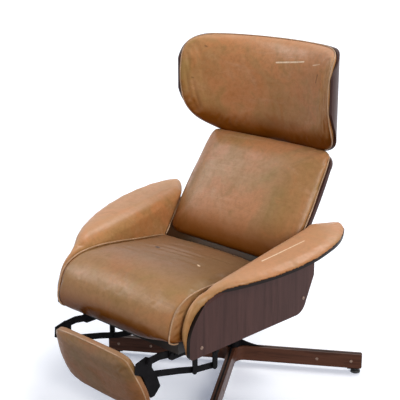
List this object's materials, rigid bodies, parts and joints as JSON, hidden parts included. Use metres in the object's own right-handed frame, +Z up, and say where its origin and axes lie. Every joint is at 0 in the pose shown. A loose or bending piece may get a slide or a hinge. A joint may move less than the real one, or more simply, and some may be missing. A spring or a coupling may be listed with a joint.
{
  "type": "star base swivel recliner",
  "caption": "Low leather lounge chair on a cross-shaped swivel base, with a wrap-round headrest, bent plywood shells, a reclining back and a swing-out footrest.",
  "frame": {"origin": "middle of the footprint box on the floor: half way between the widest points left and right, and half way between the footrest's front and the end of the rear leg; the swivel axis is 120.8 mm behind it", "axes": "+Z up, the chair faces -Y, +X is the sitter's left"},
  "size_m": [0.8048, 0.9154, 1.002],
  "materials": {
    "leather": "worn tan leather, satin, mottled",
    "dark_veneer": "dark stained veneer, satin lacquer",
    "leg_veneer": "walnut brown stained plywood, satin",
    "frame_wood": "plain unfinished beech",
    "webbing": "woven elastic webbing",
    "black_steel": "black paint, semi-gloss",
    "bright_steel": "plain turned steel",
    "glide_plastic": "black plastic",
    "bearing_plastic": "natural bearing plastic"
  },
  "bodies": {
    "base": {"base_spider": "black_steel", "leg_strip_1": "leg_veneer", "leg_strip_2": "leg_veneer", "leg_strip_3": "leg_veneer", "leg_strip_4": "leg_veneer", "leg_bolts": "black_steel", "glide_rear_left": "glide_plastic", "glide_rear_right": "glide_plastic", "glide_front_right": "glide_plastic", "glide_front_left": "glide_plastic", "swivel_post": "bright_steel", "thrust_washer": "bearing_plastic", "retaining_clip": "bright_steel"},
    "carriage": {"swivel_head": "black_steel", "lower_bush": "bearing_plastic", "upper_bush": "bearing_plastic", "front_cross_beam": "black_steel", "rear_cross_beam": "black_steel", "plate_bolts": "black_steel", "side_rail_left": "black_steel", "side_rail_right": "black_steel", "footrest_arm_left": "black_steel", "footrest_arm_right": "black_steel", "hinge_bracket_left": "black_steel", "hinge_bracket_right": "black_steel", "rail_bolts": "black_steel", "hanger_pins": "bright_steel", "footrest_pivot_pins": "bright_steel", "seat_frame": "frame_wood", "seat_webbing": "webbing", "seat_cushion": "leather", "arm_shell_left": "dark_veneer", "arm_shell_right": "dark_veneer", "arm_pad_left": "leather", "arm_pad_right": "leather", "arm_spacers": "black_steel", "arm_bolts": "black_steel"},
    "back": {"back_shell": "dark_veneer", "back_cushion": "leather", "back_strap_left": "black_steel", "back_strap_right": "black_steel", "hinge_pins": "bright_steel", "headrest_shell": "dark_veneer", "headrest_cushion": "leather", "headrest_plate_left": "black_steel", "headrest_plate_right": "black_steel", "back_screws": "black_steel"},
    "footrest": {"footrest_board": "dark_veneer", "footrest_pad": "leather", "footrest_bracket_left": "black_steel", "footrest_bracket_right": "black_steel", "footrest_screws": "black_steel"},
    "front_hangers": {"front_hanger_left": "black_steel", "front_hanger_right": "black_steel"},
    "rear_hangers": {"rear_hanger_left": "black_steel", "rear_hanger_right": "black_steel"},
    "push_bars": {"push_bar_left": "black_steel", "push_bar_right": "black_steel", "push_bar_pins": "bright_steel"}
  },
  "joints": [
    {"name": "seat_swivel", "type": "hinge", "parent": "base", "child": "carriage", "pos_m": [0, 0.1208, 0.087], "axis": [0, 0, 1], "continuous": true},
    {"name": "back_recline", "type": "hinge", "parent": "carriage", "child": "back", "pos_m": [0, 0.0808, 0.34], "axis": [-1, 0, 0], "range_deg": [0, 16]},
    {"name": "footrest_lift", "type": "hinge", "parent": "carriage", "child": "footrest", "pos_m": [0, -0.3972, 0.236], "axis": [-1, 0, 0], "range_deg": [0, 90]},
    {"name": "front_hanger_swing", "type": "hinge", "parent": "carriage", "child": "front_hangers", "pos_m": [0, -0.2252, 0.198], "axis": [-1, 0, 0], "range_deg": [0, 90]},
    {"name": "rear_hanger_swing", "type": "hinge", "parent": "carriage", "child": "rear_hangers", "pos_m": [0, -0.1452, 0.187], "axis": [-1, 0, 0], "range_deg": [0, 90]},
    {"name": "push_bar_pivot", "type": "hinge", "parent": "front_hangers", "child": "push_bars", "pos_m": [0, -0.2252, 0.148], "axis": [-1, 0, 0], "range_deg": [-90, 0]}
  ],
  "couplings": [
    {"joint": "front_hanger_swing", "follows": "footrest_lift", "ratio": 1},
    {"joint": "rear_hanger_swing", "follows": "footrest_lift", "ratio": 1},
    {"joint": "push_bar_pivot", "follows": "footrest_lift", "ratio": -1}
  ]
}
